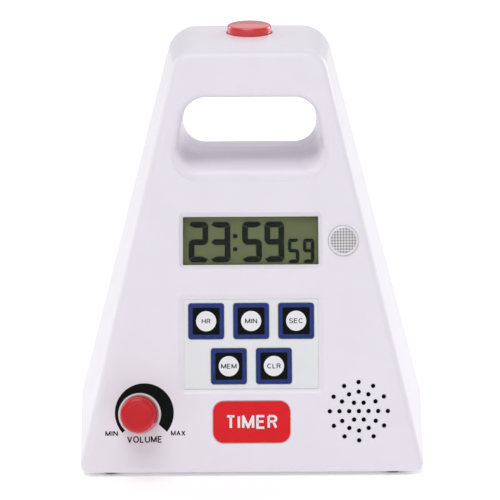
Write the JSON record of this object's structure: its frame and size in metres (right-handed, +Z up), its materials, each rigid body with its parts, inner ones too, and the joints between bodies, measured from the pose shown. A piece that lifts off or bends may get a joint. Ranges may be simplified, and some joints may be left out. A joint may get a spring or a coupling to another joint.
{
  "type": "lab timer",
  "caption": "Free-standing bench lab timer: tapered white case with a carrying handle, digital display, alarm lamp, keypad, volume knob, speaker grille and a top push button.",
  "frame": {"origin": "centre of the object's box seen from above, on the surface that the feet stand on", "axes": "+Z up, the display side faces -Y, +X to the right seen from the front"},
  "size_m": [0.1788, 0.124, 0.2017],
  "materials": {
    "white_abs": "fine satin moulded ABS",
    "red_plastic": "glossy moulded red plastic",
    "clear_plastic": "clear acrylic",
    "display_glass": "reflective liquid crystal panel",
    "black_plastic": "moulded black plastic",
    "keypad_film": "printed polyester overlay",
    "key_print": "embossed key with a blue border print",
    "polyester_film": "clear polyester circuit film",
    "conductive_rubber": "striped elastomer connector",
    "circuit_board": "green solder mask",
    "steel": "nickel-plated steel",
    "speaker_paper": "pressed black paper",
    "rubber": "soft black rubber",
    "cell_jacket": "printed cell jacket",
    "red_insulation": "red lead insulation",
    "black_insulation": "black lead insulation"
  },
  "bodies": {
    "case": {"front_shell": "white_abs", "rear_cover": "white_abs", "front_plate": "red_plastic", "alarm_lamp_led": "red_plastic", "lcd_window": "clear_plastic", "alarm_lamp_lens": "clear_plastic", "lcd_panel": "display_glass", "lcd_frame": "black_plastic", "controller_chip": "black_plastic", "filter_capacitor": "black_plastic", "keypad_socket": "black_plastic", "speaker_clamp": "black_plastic", "button_switch": "black_plastic", "keypad_overlay": "keypad_film", "keypad_circuit": "polyester_film", "keypad_tail": "polyester_film", "lcd_connector": "conductive_rubber", "main_board": "circuit_board", "button_board": "circuit_board", "quartz_crystal": "steel", "speaker_basket": "steel", "speaker_magnet": "steel", "volume_pot_body": "steel", "volume_pot_nut": "steel", "battery_contact_lower": "steel", "battery_contact_upper": "steel", "stop_button_spring": "steel", "board_screw_1": "steel", "board_screw_2": "steel", "board_screw_3": "steel", "board_screw_4": "steel", "case_screw_lower_left": "steel", "case_screw_lower_right": "steel", "case_screw_middle_left": "steel", "case_screw_middle_right": "steel", "case_screw_upper_left": "steel", "case_screw_upper_right": "steel", "speaker_cone": "speaker_paper", "foot_front_left": "rubber", "foot_front_right": "rubber", "foot_rear_left": "rubber", "foot_rear_right": "rubber", "battery_cell_1": "cell_jacket", "battery_cell_2": "cell_jacket", "battery_cell_3": "cell_jacket", "battery_cell_4": "cell_jacket", "battery_lead_positive": "red_insulation", "battery_lead_negative": "black_insulation", "speaker_lead": "black_insulation", "volume_lead": "black_insulation", "button_lead": "black_insulation"},
    "volume_knob": {"volume_knob": "red_plastic", "volume_pot_shaft": "steel"},
    "stop_button": {"stop_button_cap": "red_plastic"},
    "battery_door": {"battery_door": "white_abs"},
    "key_hr": {"key_hr": "key_print"},
    "key_min": {"key_min": "key_print"},
    "key_sec": {"key_sec": "key_print"},
    "key_mem": {"key_mem": "key_print"},
    "key_clr": {"key_clr": "key_print"}
  },
  "joints": [
    {"name": "volume_turn", "type": "hinge", "parent": "case", "child": "volume_knob", "pos_m": [-0.0521, -0.0459, 0.02837], "axis": [0, -0.9593, 0.2823], "range_deg": [-135, 135]},
    {"name": "stop_press", "type": "slide", "parent": "case", "child": "stop_button", "axis": [0, 0.1229, -0.9924], "range_m": [0, 0.002], "stiffness_N_per_m": 500, "springref_m": -0.001, "deforming": ["stop_button_spring"]},
    {"name": "battery_door_hinge", "type": "hinge", "parent": "case", "child": "battery_door", "pos_m": [0, 0.06202, 0.0169], "axis": [-1, 0, 0], "range_deg": [0, 75]},
    {"name": "key_hr_press", "type": "slide", "parent": "case", "child": "key_hr", "axis": [0, 0.9593, -0.2823], "range_m": [0, 0.00035], "stiffness_N_per_m": 1500, "springref_m": -0.0002},
    {"name": "key_min_press", "type": "slide", "parent": "case", "child": "key_min", "axis": [0, 0.9593, -0.2823], "range_m": [0, 0.00035], "stiffness_N_per_m": 1500, "springref_m": -0.0002},
    {"name": "key_sec_press", "type": "slide", "parent": "case", "child": "key_sec", "axis": [0, 0.9593, -0.2823], "range_m": [0, 0.00035], "stiffness_N_per_m": 1500, "springref_m": -0.0002},
    {"name": "key_mem_press", "type": "slide", "parent": "case", "child": "key_mem", "axis": [0, 0.9593, -0.2823], "range_m": [0, 0.00035], "stiffness_N_per_m": 1500, "springref_m": -0.0002},
    {"name": "key_clr_press", "type": "slide", "parent": "case", "child": "key_clr", "axis": [0, 0.9593, -0.2823], "range_m": [0, 0.00035], "stiffness_N_per_m": 1500, "springref_m": -0.0002}
  ]
}
